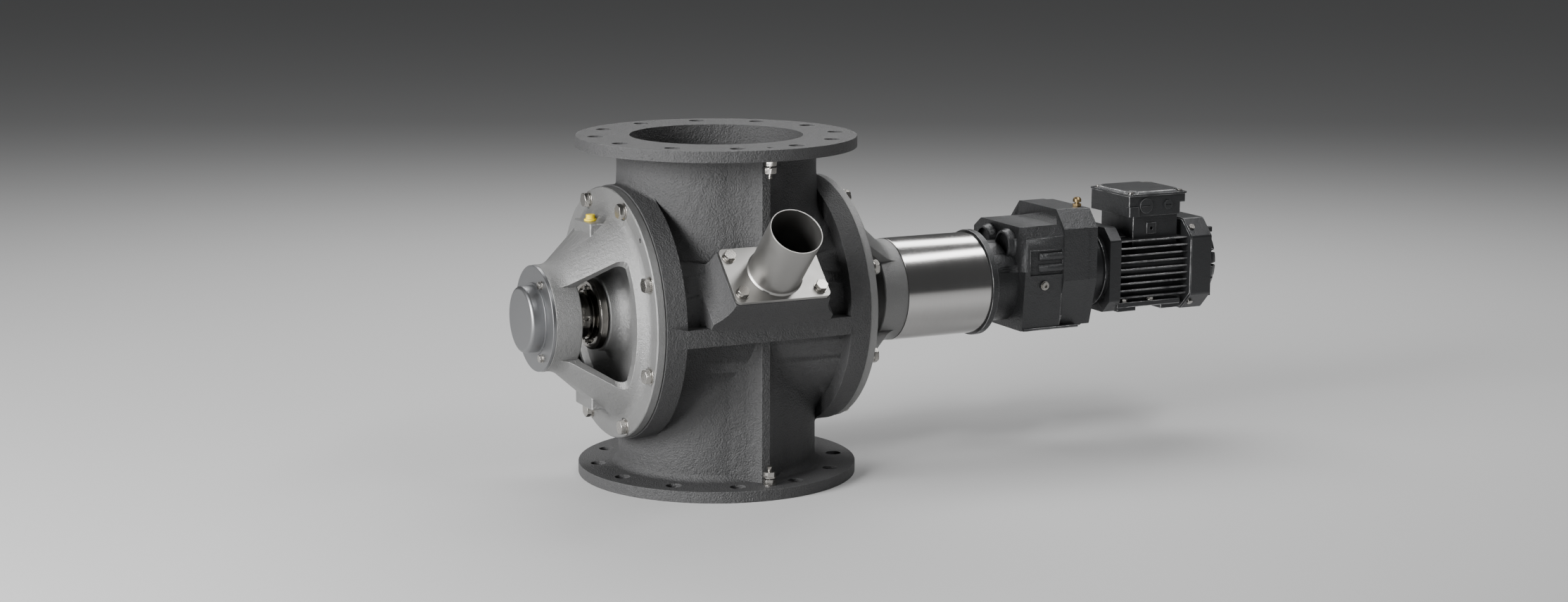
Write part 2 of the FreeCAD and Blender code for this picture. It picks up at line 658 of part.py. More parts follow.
def build_caps():
    bore, house, drum = s.bearing_dia / 2, s.bearing_house / 2, s.cap_drum / 2
    low = s.cap_flange
    start = -s.body_half - s.house_end
    cap = turned([
        (bore - 6, -seat_depth), (bore - 0.1, -seat_depth), (bore - 0.1, 0), (house - 0.6, 0),
        (house - 0.6, low), (drum + 3.5, low), (drum + 3.5, low + 2), (drum, low + 2),
        (drum, s.cap_length), (0, s.cap_length), (0, s.cap_length - s.cap_wall),
        (drum - s.cap_wall, s.cap_length - s.cap_wall), (drum - s.cap_wall, 3), (bore - 6, 3)],
        "-X", start)

    def rim(edge):
        at_end = abs(edge.BoundBox.XMin - (start - s.cap_length).value) < 1e-3
        return at_end and edge.BoundBox.XLength < 1e-3

    cap = rounded(cap, s.cap_edge, rim)
    spots = list(around(3, s.cap_screw_circle / 2))
    holes = [rod(s.cap_screw / 2 + 0.3, low, "-X", start, one, axis + two) for one, two in spots]
    node("bearing_cap_free", cut(cap, *holes))
    screws = [hex_bolt(s.cap_screw, low + 10, "-X", start - low, one, axis + two)
              for one, two in spots]
    start = s.body_half + s.house_end
    guard = s.guard_dia / 2 - s.guard_wall - 0.2
    retainer = turned([(bore - 6, -seat_depth), (bore - 0.1, -seat_depth), (bore - 0.1, 0), (guard, 0),
                       (guard, 10), (s.journal / 2 + 3, 10), (s.journal / 2 + 3, 2), (bore - 6, 2)],
                      "X", start)
    holes = [rod(s.cap_screw / 2 + 0.3, 10, "X", start, one, axis + two) for one, two in spots]
    node("bearing_ring_drive", cut(retainer, *holes))
    screws += [hex_bolt(s.cap_screw, 20, "X", start + 10, one, axis + two) for one, two in spots]
    node("cap_screws", group(*screws))


build_caps()


# Rotor: straight vanes on a hub, pinned to a stepped shaft
def build_rotor():
    half = chamber_half - s.rotor_tip_gap
    tip = s.chamber_dia / 2 - s.rotor_tip_gap
    hub = s.rotor_hub / 2
    core = rod(hub, half * 2, "X", -half, 0, axis)
    envelope = rod(tip, half * 2, "X", -half, 0, axis)
    vanes = []
    for step in range(ROTOR_VANES // 2):
        turn = Rotation(Vector(1, 0, 0), 22.5 + 180 * step / (ROTOR_VANES / 2))
        corner = turn.multVec(Vector(0, -1, 0)) * 1
        side = turn.multVec(Vector(0, 0, -1))
        blade = new("Part::Box", "vane")
        bind(blade, "Length", half * 2)
        bind(blade, "Width", tip * 2 + 4)
        bind(blade, "Height", s.vane_thick)
        reach, thick = tip + 2, s.vane_thick / 2
        place(blade, -half, corner.y * reach + side.y * thick,
              axis + corner.z * reach + side.z * thick, turn)
        vanes.append(blade)
    wheel = common(fuse(core, *vanes), envelope)
    bore = rod(s.rotor_shaft / 2, half * 2, "X", -half, 0, axis)
    node("rotor", cut(wheel, bore))


def build_rotor_shaft():
    shaft, journal = s.rotor_shaft / 2, s.journal / 2
    seat = s.body_half + bearing_back
    end = seat + s.bearing_wide + s.nut_wide + 3
    nose = s.body_half + s.house_end + s.coupling_start + s.coupling_hub - 2
    node("rotor_shaft", turned([
        (0, -end), (journal - 1, -end), (journal, 1 - end), (journal, -seat), (shaft, -seat),
        (shaft, seat), (journal, seat), (journal, end), (s.shaft_nose / 2, end),
        (s.shaft_nose / 2, nose - 1), (s.shaft_nose / 2 - 1, nose), (0, nose)]))
    outside = seat + s.bearing_wide
    rings = [ring(journal + 6, journal, s.nut_wide, way, sign(way) * outside)
             for label, way, start in SIDES]
    node("shaft_nuts", group(*rings))
    collars = []
    for label, way, start in SIDES:
        near = s.hub_end + s.gland_stand + s.gland_thick + 7
        body = ring(s.collar_dia / 2, shaft, s.collar_wide, way, start + sign(way) * near)
        middle = start + sign(way) * (near + s.collar_wide / 2)
        screw = [rod(3.6, 3, "-Y", middle, -(s.collar_dia / 2) + 2.5, axis),
                 rod(3.6, 3, "Y", middle, s.collar_dia / 2 - 2.5, axis)]
        collars.append(cut(body, *screw))
    node("shaft_collars", group(*collars))


build_rotor()
build_rotor_shaft()


# Guard tube round the coupling: it also spaces the gearbox from the drive-end cover
guard_start = s.body_half + s.house_end
guard_end = guard_start + s.guard_length
node("coupling_guard", ring(s.guard_dia / 2, s.guard_dia / 2 - s.guard_wall, s.guard_length,
                            "X", guard_start))


# Jaw coupling: two hubs with three claws each, and a rubber star between them
def sector(radius, inner, length, x, middle, width):
    turn = ALONG["X"].multiply(Rotation(Vector(0, 0, 1), middle - width / 2))
    wedge = rod(radius, length, turn, x, 0, axis, sweep=width)
    return cut(wedge, rod(inner, length, "X", x, 0, axis))


def build_coupling():
    outer, inner = s.coupling_dia / 2, s.coupling_dia / 2 * 0.66
    start = guard_start + s.coupling_start
    gap = start + s.coupling_hub
    second = gap + s.coupling_gap
    first = fuse(ring(outer, s.shaft_nose / 2, s.coupling_hub, "X", start),
                 *[sector(outer, inner, s.coupling_gap - 1, gap, 120 * step, 44)
                   for step in range(3)])
    node("coupling_hub_valve", first)
    claws = [sector(outer, inner, s.coupling_gap - 1, gap + 1, 60 + 120 * step, 44)
             for step in range(3)]
    node("coupling_hub_gearbox", fuse(ring(outer, s.output_shaft / 2, s.coupling_hub, "X", second),
                                      *claws))
    arms = [sector(outer - 2, inner - 2, s.coupling_gap - 4, gap + 2, 30 + 60 * step, 15.4)
            for step in range(6)]
    node("coupling_star", fuse(ring(inner - 0.3, inner - 8, s.coupling_gap - 4, "X", gap + 2), *arms))


build_coupling()


# Gear train: three stages on two countershafts, the second one sitting below the motor's height
first_centre = s.gear_module * (PINION_TEETH + COUNTER_TEETH) / 2
last_centre = s.gear_module * (PINION_TEETH + OUTPUT_TEETH) / 2
counter_half = first_centre / 2
LAST_RISE = math.sqrt((PINION_TEETH + OUTPUT_TEETH) ** 2 - ((PINION_TEETH + COUNTER_TEETH) / 2) ** 2)
FIRST_RISE = math.sqrt(3) / 2 * (PINION_TEETH + COUNTER_TEETH)
counter_level = axis + s.gear_module * LAST_RISE / 2
motor_level = counter_level - s.gear_module * FIRST_RISE / 2
gear_place = {"output": s.case_front + 23, "middle": s.case_joint - 28, "first": s.case_joint - 8}


def tooth_profile(teeth, module, phase):
    """The outline of an involute spur gear with 20 degree teeth, its first tooth at the phase."""
    pressure = math.radians(20)
    pitch, base = module * teeth / 2, module * teeth / 2 * math.cos(pressure)
    tip, root = pitch + 0.9 * module, pitch - 1.25 * module
    slack = 0.06 * module

    def half_angle(radius):
        spread = math.acos(min(1, base / radius))
        involute = math.tan(spread) - spread
        return (math.pi / 2 - slack) / teeth + math.tan(pressure) - pressure - involute

    middle = (max(base, root) + tip) / 2
    flank = [(root, half_angle(max(base, root))), (middle, half_angle(middle)), (tip, half_angle(tip))]
    points = []
    for tooth in range(teeth):
        centre = phase + 2 * math.pi * tooth / teeth
        for way, side in ((-1, flank), (1, flank[::-1])):
            for radius, half in side:
                angle = centre + way * half
                points.append(Vector(0, radius * math.cos(angle), radius * math.sin(angle)))
    return points


def gear_wheel(label, teeth, bore, x, y, z, phase):
    """A toothed wheel has no feature that draws it, so its outline is worked out here."""
    points = tooth_profile(teeth, s.gear_module.value, phase)
    blank = Part.Face(Part.makePolygon(points + points[:1])).extrude(Vector(s.gear_wide.value, 0, 0))
    hole = Part.makeCylinder(as_size(bore).value, s.gear_wide.value, Vector(), Vector(1, 0, 0))
    wheel = doc.addObject("Part::Feature", label)
    wheel.Shape = blank.cut(hole)
    wheel.Placement = FreeCAD.Placement(Vector(*[as_size(v).value for v in (x, y, z)]), Rotation())
    return node(label, wheel)


def meshed(teeth, phase, line, mate_teeth):
    """The phase that puts a gap of the mate opposite a tooth, along the line between centres."""
    return line + math.pi + (math.pi - teeth * (phase - line)) / mate_teeth


def build_gears():
    rise = math.atan2(LAST_RISE, -(PINION_TEETH + COUNTER_TEETH) / 2)
    drop = math.atan2(-math.sqrt(3), -1)
    counter, output, motor = s.countershaft / 2, s.output_shaft / 2, s.pinion_seat / 2
    gear_wheel("output_gear", OUTPUT_TEETH, output, gear_place["output"], 0, axis, 0)
    gear_wheel("last_pinion", PINION_TEETH, counter, gear_place["output"], -counter_half,
               counter_level, meshed(OUTPUT_TEETH, 0, rise, PINION_TEETH))
    gear_wheel("middle_gear", COUNTER_TEETH, counter, gear_place["middle"], -counter_half,
               counter_level, 0)
    gear_wheel("middle_pinion", PINION_TEETH, counter, gear_place["middle"], counter_half,
               counter_level, meshed(COUNTER_TEETH, 0, 0, PINION_TEETH))
    gear_wheel("first_gear", COUNTER_TEETH, counter, gear_place["first"], counter_half,
               counter_level, 0)
    gear_wheel("motor_pinion", PINION_TEETH, motor, gear_place["first"], 0, motor_level,
               meshed(COUNTER_TEETH, 0, drop, PINION_TEETH))


build_gears()
counter_bearing = 9
web = (s.case_front + 45, s.case_front + 55)
cover_wall = s.case_back - 12


def build_gear_shafts():
    radius = s.countershaft / 2
    front, back = s.case_front - 4, cover_wall + 8
    node("last_countershaft", rod(radius, back - front, "X", front, -counter_half, counter_level))
    node("first_countershaft", rod(radius, back - front, "X", front, counter_half, counter_level))
    start = guard_start + s.coupling_start + s.coupling_hub + s.coupling_gap + 2
    node("output_shaft", rod(s.output_shaft / 2, web[1] + 4 - start, "X", start, 0, axis))
    rings = [ring(14, radius + s.running_gap, 8, "X", x, way * counter_half, counter_level)
             for x in (s.case_front - 4, cover_wall) for way in (-1, 1)]
    node("countershaft_bearings", group(*rings))
    output = s.output_shaft / 2 + s.running_gap
    node("output_bearings", group(ring(36, output, 16, "X", guard_end + 12),
                                  ring(31, output, 10, "X", web[0])))


build_gear_shafts()


# Gearbox casing: output neck and flange, low front part, higher rear part, and a rear cover
def front_outline(inset=0):
    side = s.front_half - inset * 2
    return [(-s.front_foot + inset, inset - s.case_low), (s.front_foot - inset, inset - s.case_low),
            (side, s.case_waist), (side, s.front_shoulder - inset * 0.5),
            (s.front_flat - inset * 0.5, s.front_top - inset),
            (-s.front_flat + inset * 0.5, s.front_top - inset),
            (-side, s.front_shoulder - inset * 0.5), (-side, s.case_waist)]


def rear_outline(inset=0):
    side = s.rear_half - inset
    return [(-s.rear_foot + inset, inset - s.case_low), (s.rear_foot - inset, inset - s.case_low),
            (side, s.rear_waist), (side, s.rear_shoulder - inset * 0.5),
            (s.rear_flat - inset * 0.4, s.rear_top - inset),
            (-s.rear_flat + inset * 0.4, s.rear_top - inset),
            (-side, s.rear_shoulder - inset * 0.5), (-side, s.rear_waist)]


def long_edge(edge):
    """An edge that runs along the shaft direction."""
    box = edge.BoundBox
    return box.XLength > 1 and box.YLength < 1e-3 and box.ZLength < 1e-3


def build_gearbox():
    wall = s.case_wall
    front = slab(front_outline(), s.case_step - s.case_front, "YZ", s.case_front, 0, axis)
    rear = slab(rear_outline(), s.case_joint - s.case_step, "YZ", s.case_step, 0, axis)
    front = rounded(front, s.case_round, long_edge)
    rear = rounded(rear, s.case_round, long_edge)
    disc = rod(s.disc_dia / 2, s.disc_thick, "X", guard_end, 0, axis)
    spigot = rod(s.guard_dia / 2 - s.guard_wall - 0.2, 8, "X", guard_end - 8, 0, axis)
    neck = rod(s.gear_neck / 2, s.case_front - guard_end, "X", guard_end, 0, axis)
    boss = s.boss_dia / 2
    bosses = [turned([(0, 0), (boss - 1.5, 0), (boss, 1.5), (boss, 6), (boss + 2, 7.5),
                      (boss + 2, s.boss_reach + 4), (0, s.boss_reach + 4)], "X",
                     s.case_front - s.boss_reach, way * counter_half, counter_level) for way in (-1, 1)]
    sole = block((s.case_front + 3, -s.front_foot - 3, axis - s.case_low),
                 (s.case_joint - 4, s.front_foot + 3, axis - s.case_low + 4))
    shell = fuse(front, rear, disc, spigot, neck, sole, *bosses)
    chambers = [
        slab(front_outline(wall), web[0] - s.case_front - 7, "YZ", s.case_front + 7, 0, axis),
        slab(front_outline(wall), s.case_step + wall - web[1], "YZ", web[1], 0, axis),
        slab(rear_outline(wall), s.case_joint - s.case_step - wall, "YZ", s.case_step + wall, 0, axis)]
    bores = [rod(36, 16, "X", guard_end + 12, 0, axis),
             rod(24, s.case_front - guard_end + 16, "X", guard_end - 8, 0, axis),
             rod(31, 10, "X", web[0], 0, axis)]
    pockets = []
    for way in (-1, 1):
        spot = (way * counter_half, counter_level)
        pockets.append(rod(s.boss_recess / 2, s.boss_reach - 7, "X", s.case_front - s.boss_reach, *spot))
        pockets.append(rod(14, 12, "X", s.case_front - 4, *spot))
        pockets.append(rod(12, 10, "X", web[0], *spot))
        low, high = sorted((way * (s.front_half - 4), way * (s.front_half + 4)), key=lambda v: v.value)
        pockets.append(block((s.case_front + 9, low, axis + 16), (s.case_step - 1, high, axis + 54)))
    ridges = [rod(7, s.case_step - s.case_front - 26, "X", s.case_front + 26, way * (s.front_half - 6),
                  axis + level) for way in (-1, 1) for level in (26, 44)]
    side_hole = rod(4.4, 14, "Y", s.case_front + 34, -s.front_half, axis)
    shell = cut(fuse(cut(shell, *pockets), *ridges), *chambers, *bores, side_hole)
    node("gearbox_housing", shell)
    lip = slab(rear_outline(), 8, "YZ", s.case_joint, 0, axis)
    plate = slab(rear_outline(1.2), s.case_back - s.case_joint, "YZ", s.case_joint, 0, axis)
    plate = fuse(rounded(lip, s.case_round, long_edge), rounded(plate, s.case_round, long_edge))
    hollow = slab(rear_outline(wall), cover_wall - s.case_joint, "YZ", s.case_joint, 0, axis)
    holes = [rod(14, 8, "X", cover_wall, way * counter_half, counter_level) for way in (-1, 1)]
    holes.append(rod(s.pinion_seat / 2 + 2, 14, "X", cover_wall - 1, 0, motor_level))
    vent = rod(4.6, 12, "-Z", s.case_back - 13, -38, axis + s.rear_top)
    node("gearbox_rear_cover", cut(plate, hollow, *holes, vent))


def build_plugs():
    side = s.case_front + 34
    washer = rod(7, 1.5, "-Y", side, -s.front_half, axis)
    plug = rod(5.6, 2.5, "-Y", side, -s.front_half - 1.5, axis)
    thread = rod(4.3, 8, "Y", side, -s.front_half, axis)
    socket = hexagon(5, 3.5, "-Y", side, -s.front_half - 1, axis)
    node("oil_plug", cut(fuse(washer, plug, thread), socket))
    x, y, z = s.case_back - 13, -38, axis + s.rear_top
    nut = hexagon(13, 4, "Z", x, y, z)
    stem = rod(4.5, 9, "Z", x, y, z - 8)
    neck = rod(3.6, 3, "Z", x, y, z + 4)
    cap = rod(6.5, 4, "Z", x, y, z + 7)
    dome = cone(6.5, 4, 3, "Z", x, y, z + 11)
    node("gearbox_breather", fuse(nut, stem, neck, cap, dome))


build_gearbox()
build_plugs()


# Motor: adapter ring, front shield, finned frame, stator, rotor, rear shield, fan and cowl
def octagon(half, cut_back):
    short = half - cut_back
    return [(short, -half), (half, -short), (half, short), (short, half),
            (-short, half), (-half, short), (-half, -short), (-short, -half)]


def build_motor_frame():
    adapter = turned([(s.pinion_seat / 2 + 4, 0), (66, 0), (66, 8), (60, 10), (60, 24), (63, 26),
                      (63, s.motor_flange_end - s.case_back), (s.pinion_seat / 2 + 4,
                       s.motor_flange_end - s.case_back)], "X", s.case_back, 0, motor_level)
    node("motor_adapter", adapter)
    wide = s.shield_end - s.motor_flange_end
    shield = slab(octagon(s.shield_half, 19), wide, "YZ", s.motor_flange_end, 0, motor_level)
    hollow = rod(s.frame_bore / 2, wide - 12, "X", s.motor_flange_end + 12, 0, motor_level)
    seat = rod(21, 8, "X", s.motor_flange_end + 4, 0, motor_level)
    hole = rod(s.motor_shaft / 2 + 2, wide, "X", s.motor_flange_end, 0, motor_level)
    node("motor_front_shield", cut(rounded(shield, 4, long_edge), hollow, seat, hole))
    length = s.frame_end - s.shield_end
    tube = rod(s.frame_dia / 2, length, "X", s.shield_end, 0, motor_level)
    fins = []
    inner = s.frame_dia / 2 - 12
    for step in range(-4, 5):
        level = motor_level + step * s.fin_pitch - s.fin_thick / 2
        across = step * s.fin_pitch - s.fin_thick / 2
        reach = s.fin_half - (2 if abs(step) == 4 else 0)
        start = math.sqrt(max(0, (53 ** 2) - (abs(step) * 11) ** 2)) - 6
        for low, high in ((-reach, -start), (as_size(start), reach)):
            fins.append(block((s.shield_end, low, level),
                              (s.frame_end, high, level + s.fin_thick)))
        fins.append(block((s.shield_end, across, motor_level - s.fin_half),
                          (s.frame_end, across + s.fin_thick, motor_level - start)))
    ledge = motor_level - s.fin_half + 10
    feet = [block((x, y, motor_level - s.fin_half - 6), (x + 34, y + 26, ledge))
            for x in (s.shield_end + 6, s.frame_end - 40) for y in (as_size(-50), as_size(24))]
    feet += [block((s.shield_end, y, ledge - 8), (s.frame_end - 10, y + 16, ledge))
             for y in (as_size(-58), as_size(42))]
    spots = [(s.shield_end + x, y * as_size(52)) for x in (16, 64) for y in (-1, 1)]
    taps = [rod(s.foot_bolt / 2, 8, "-Z", x, y, ledge) for x, y in spots]
    node("foot_bolts", group(*[hex_bolt(s.foot_bolt, 7, "Z", x, y, ledge) for x, y in spots]))
    seat = block((s.seat_front, -s.seat_half, motor_level + 34),
                 (s.box_back + 1, s.seat_half, motor_level + s.box_low))
    earth = block((s.seat_front + 24, -s.seat_half - 2, motor_level + 51),
                  (s.seat_front + 42, -s.seat_half + 1, motor_level + 69))
    throat = block((s.seat_front + 12, -24, motor_level + 40),
                   (s.box_back - 12, 24, motor_level + s.box_low))
    bore = rod(s.frame_bore / 2, length, "X", s.shield_end, 0, motor_level)
    earth_hole = rod(2.5, 10, "Y", s.seat_front + 33, -s.seat_half - 2, motor_level + 60)
    node("motor_frame", cut(fuse(tube, *fins, *feet, seat, earth), bore, throat, earth_hole, *taps))


def build_motor_core():
    length = s.frame_end - s.shield_end - 30
    start = s.shield_end + 14
    node("stator_core", ring(s.frame_bore / 2, s.stator_bore / 2, length, "X", start, 0, motor_level))
    node("motor_rotor_core", ring(s.stator_bore / 2 - s.air_gap, s.motor_shaft / 2, length, "X", start,
                                  0, motor_level))
    shaft, seat = s.motor_shaft / 2, s.pinion_seat / 2
    step = s.case_back + 6
    end = s.cowl_end - 6
    node("motor_shaft", turned([(0, 0), (seat, 0), (seat, step - gear_place["first"]),
                                (shaft, step - gear_place["first"]), (shaft, end - gear_place["first"]),
                                (0, end - gear_place["first"])], "X", gear_place["first"], 0, motor_level))
    rings = [ring(21, shaft + s.running_gap, 8, "X", x, 0, motor_level)
             for x in (s.motor_flange_end + 4, s.frame_end + 1)]
    node("motor_bearings", group(*rings))
    end_half = s.cowl_half - s.cowl_wall - 0.1
    plate = slab(octagon(end_half, s.cowl_corner), 6, "YZ", s.frame_end, 0, motor_level)
    hub = rod(27, 12, "X", s.frame_end, 0, motor_level)
    seat = rod(21, 9, "X", s.frame_end, 0, motor_level)
    hole = rod(shaft + 1.5, 12, "X", s.frame_end, 0, motor_level)
    node("motor_rear_shield", cut(fuse(plate, hub), seat, hole))


def build_fan_and_cowl():
    start = s.frame_end + 14
    hub = ring(15, s.motor_shaft / 2, 14, "X", start, 0, motor_level)
    disc = ring(58, 15, 2, "X", start, 0, motor_level)
    blades = []
    for step in range(7):
        turn = Rotation(Vector(1, 0, 0), 360 * step / 7)
        out = turn.multVec(Vector(0, 1, 0))
        blade = new("Part::Box", "blade")
        bind(blade, "Length", 12)
        bind(blade, "Width", 44)
        bind(blade, "Height", 2.2)
        blades.append(place(blade, start + 1, out.y * as_size(14), motor_level + out.z * as_size(14), turn))
    node("cooling_fan", fuse(hub, disc, *blades))
    wall = s.cowl_wall
    length = s.cowl_end - s.frame_end - 1
    shell = slab(octagon(s.cowl_half, s.cowl_corner), length, "YZ", s.frame_end + 1, 0, motor_level)
    shell = rounded(shell, 6, long_edge)
    hollow = slab(octagon(s.cowl_half - wall, s.cowl_corner), length - wall, "YZ", s.frame_end + 1, 0,
                  motor_level)
    depth = s.motor_end - s.cowl_end
    dish = turned([(0, 0), (66, 0), (65, depth * 0.4), (60, depth * 0.8), (54, depth), (0, depth)],
                  "X", s.cowl_end, 0, motor_level)
    inside = turned([(0, -3), (63, -3), (63, 1), (62.5, depth * 0.35), (58, depth * 0.75),
                     (53, depth - wall), (0, depth - wall)], "X", s.cowl_end, 0, motor_level)
    slots = []
    for step in range(18):
        turn = Rotation(Vector(1, 0, 0), 20 * step)
        out = turn.multVec(Vector(0, 1, 0))
        slot = new("Part::Box", "slot")
        bind(slot, "Length", depth)
        bind(slot, "Width", 46)
        bind(slot, "Height", 4.5)
        slots.append(place(slot, s.cowl_end + 3, out.y * as_size(22), motor_level + out.z * as_size(22),
                           turn))
    tabs = [block((s.cowl_end - 1, min(side, side * 47 / 38), level + motor_level),
                  (s.motor_end - 2, max(side, side * 47 / 38), level + motor_level + 8))
            for side in (-38, 38) for level in (-55, 47)]
    node("fan_cowl", cut(fuse(shell, dish, *tabs), hollow, inside, *slots))
    screws = []
    for y in (-1, 1):
        for z in (-1, 1):
            place_y = y * (s.cowl_half - s.cowl_corner / 2)
            place_z = motor_level + z * (s.cowl_half - s.cowl_corner / 2)
            turn = Rotation(Vector(0, 0, 1), Vector(0, y, z))
            screws.append(rod(4.5, 3, turn, s.frame_end + 8, place_y, place_z))
    node("cowl_screws", group(*screws))


build_motor_frame()
build_motor_core()
build_fan_and_cowl()


# Terminal box: tray on the frame's seat, lid with four screws, and blanked cable entries
def build_terminal_box():
    low, top = motor_level + s.box_low, motor_level + s.box_lid_low
    tray = block((s.box_front, -s.box_half, low), (s.box_back, s.box_half, top))
    corner = block((s.box_front - 1, -s.box_half - 3, low), (s.box_front + 17, -s.box_half + 6, low + 15))
    inside = block((s.box_front + 4, -s.box_half + 4, low + 4), (s.box_back - 4, s.box_half - 4, top))
    throat = block((s.seat_front + 12, -24, low), (s.box_back - 12, 24, low + 4))
    entries = [rod(radius * 0.86, 6, "Y", x, -s.box_half, low + 16)
               for radius, x in ((11.5, s.box_front + 30), (7.2, s.box_front + 71))]
    spots = [(x, y) for x in (s.box_front + 8, s.lid_back - 9) for y in (-s.box_half + 8, s.box_half - 8)]
    posts = [rod(5, 14, "-Z", x, y, top) for x, y in spots]
    taps = [rod(2.3, 12, "-Z", x, y, top) for x, y in spots]
    band = block((s.box_back - 1, -s.box_half, top - 14), (s.lid_back - 3, s.box_half, top))
    tray = cut(fuse(tray, corner, band), inside, throat, *entries)
    node("terminal_box", cut(fuse(tray, *posts), *taps))
    rim = block((s.box_front - 2, -s.lid_half, top), (s.lid_back, s.lid_half, top + s.lid_rim))
    front, back, half = s.box_front + 0.5, s.lid_back - 2.5, s.lid_half - 2.5
    notch = [(front, half - 15), (front + 10, half - 15), (front + 15, half - 10), (front + 15, half),
             (back - 15, half), (back - 15, half - 10), (back - 10, half - 15), (back, half - 15)]
    dome = slab(notch + [(x, -y) for x, y in notch[::-1]], s.lid_thick, "Z", 0, 0, top)

    def upright(edge):
        return edge.BoundBox.ZLength > 2

    def upper(edge):
        return edge.BoundBox.ZMin > (top + s.lid_thick).value - 1e-3

    lid = fuse(rounded(rim, 6, upright), rounded(dome, 3, upper, "Part::Chamfer"))
    holes = [rod(2.7, s.lid_thick, "Z", x, y, top) for x, y in spots]
    node("terminal_lid", cut(lid, *holes))
    screws = [fuse(rod(4.4, 2.6, "Z", x, y, top + s.lid_rim), rod(2.2, s.lid_rim + 10, "Z", x, y, top - 10))
              for x, y in spots]
    node("lid_screws", group(*screws))
    plugs = []
    for radius, x in ((11.5, s.box_front + 30), (7.2, s.box_front + 71)):
        head = rod(radius, 3, "-Y", x, -s.box_half, low + 16)
        thread = rod(radius * 0.84, 5, "Y", x, -s.box_half, low + 16)
        slot = block((x - radius * 0.7, -s.box_half - 4, low + 15),
                     (x + radius * 0.7, -s.box_half - 1.6, low + 17))
        plugs.append(cut(fuse(head, thread), slot))
    node("cable_entry_plugs", group(*plugs))


build_terminal_box()


# Every sub-part is checked, then written out
doc.recompute()
for thing in doc.Objects:
    if "Invalid" in thing.State or "Error" in thing.State:
        raise RuntimeError("failed: %s %s" % (thing.Label, thing.State))
os.makedirs("parts", exist_ok=True)
for thing in nodes:
    shape = thing.Shape
    if shape.isNull() or not shape.isValid() or not shape.Solids:
        raise RuntimeError("bad shape: " + thing.Label)
    shape.exportStep("parts/%s.step" % thing.Label)
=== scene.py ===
"""Rotary airlock valve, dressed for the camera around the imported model."""
import math
import random

import bmesh
import bpy
from mathutils import Matrix, Vector


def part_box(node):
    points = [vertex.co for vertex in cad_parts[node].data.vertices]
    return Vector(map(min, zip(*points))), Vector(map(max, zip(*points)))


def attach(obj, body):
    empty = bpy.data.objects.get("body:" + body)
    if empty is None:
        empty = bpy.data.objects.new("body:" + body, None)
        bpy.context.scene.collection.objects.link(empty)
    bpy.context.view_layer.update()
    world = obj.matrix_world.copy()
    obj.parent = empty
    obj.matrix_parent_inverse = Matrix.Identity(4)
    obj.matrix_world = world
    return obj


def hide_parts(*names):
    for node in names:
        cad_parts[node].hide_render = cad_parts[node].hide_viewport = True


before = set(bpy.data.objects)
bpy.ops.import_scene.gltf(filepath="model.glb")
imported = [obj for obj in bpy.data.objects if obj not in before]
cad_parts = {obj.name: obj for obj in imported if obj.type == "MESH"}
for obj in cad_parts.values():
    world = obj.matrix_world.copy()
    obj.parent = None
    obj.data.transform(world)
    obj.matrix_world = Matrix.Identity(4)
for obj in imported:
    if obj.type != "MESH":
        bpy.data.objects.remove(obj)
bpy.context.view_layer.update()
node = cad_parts

# The camera stands at the free end and in front, a little above the inlet flange, as for the
# photograph. It was placed by fitting the flange rims, so it needs no shift.
look_at = Vector((0.10957, 0, 0.24226))
view_turn, view_rise, view_roll = (math.radians(a) for a in (-26.24, 10.33, 0.19))
view_distance = 3.88187
view_matrix = (Matrix.Rotation(view_turn, 4, "Z") @ Matrix.Rotation(math.pi / 2 - view_rise, 4, "X")
               @ Matrix.Rotation(view_roll, 4, "Z"))
camera_data = bpy.data.cameras.new("studio_camera")
camera_data.lens = 60.45
camera_data.sensor_width = 36
camera = bpy.data.objects.new("studio_camera", camera_data)
camera.matrix_world = (Matrix.Translation(look_at + view_matrix.col[2].xyz * view_distance)
                       @ view_matrix)
bpy.context.scene.collection.objects.link(camera)
bpy.context.scene.camera = camera


# The studio: a pale floor, one large soft light at the free end with a narrow one beside it, and
# two long strips above and behind that run along the shaft, with a dim grey room around them.
def plain_material(name, colour, roughness):
    made = bpy.data.materials.new(name)
    made.use_nodes = True
    shader = made.node_tree.nodes["Principled BSDF"]
    shader.inputs["Base Color"].default_value = (*colour, 1)
    shader.inputs["Roughness"].default_value = roughness
    return made


def soft_light(name, place, target, wide, high, watts):
    data = bpy.data.lights.new(name, "AREA")
    data.shape = "RECTANGLE"
    data.size, data.size_y, data.energy = wide, high, watts
    lamp = bpy.data.objects.new(name, data)
    away = Vector(place) - Vector(target)
    facing = away.to_track_quat("Z", "Y").to_matrix().to_4x4()
    lamp.matrix_world = Matrix.Translation(place) @ facing
    bpy.context.scene.collection.objects.link(lamp)


floor_mesh = bmesh.new()
bmesh.ops.create_grid(floor_mesh, x_segments=1, y_segments=1, size=12)
floor_data = bpy.data.meshes.new("floor")
floor_mesh.to_mesh(floor_data)
floor_mesh.free()
floor = bpy.data.objects.new("floor", floor_data)
bpy.context.scene.collection.objects.link(floor)
floor_data.materials.append(plain_material("floor_paper", (0.60, 0.60, 0.60), 0.85))

soft_light("key_light", (-3.5, -0.7, 1.6), (0.1, 0, 0.25), 1.8, 1.4, 235)
soft_light("side_strip", (-2.2, -1.5, 0.55), (0.6, 0, 0.30), 0.30, 0.9, 30)
soft_light("top_strip", (1.2, -0.7, 2.3), (0.5, 0, 0.30), 2.0, 0.35, 22)
soft_light("back_strip", (1.1, 1.6, 2.3), (0.35, 0, 0.25), 2.8, 0.8, 52)
room = bpy.data.worlds.new("room")
room.use_nodes = True
room.node_tree.nodes["Background"].inputs["Color"].default_value = (0.80, 0.81, 0.82, 1)
room.node_tree.nodes["Background"].inputs["Strength"].default_value = 0.10
bpy.context.scene.world = room


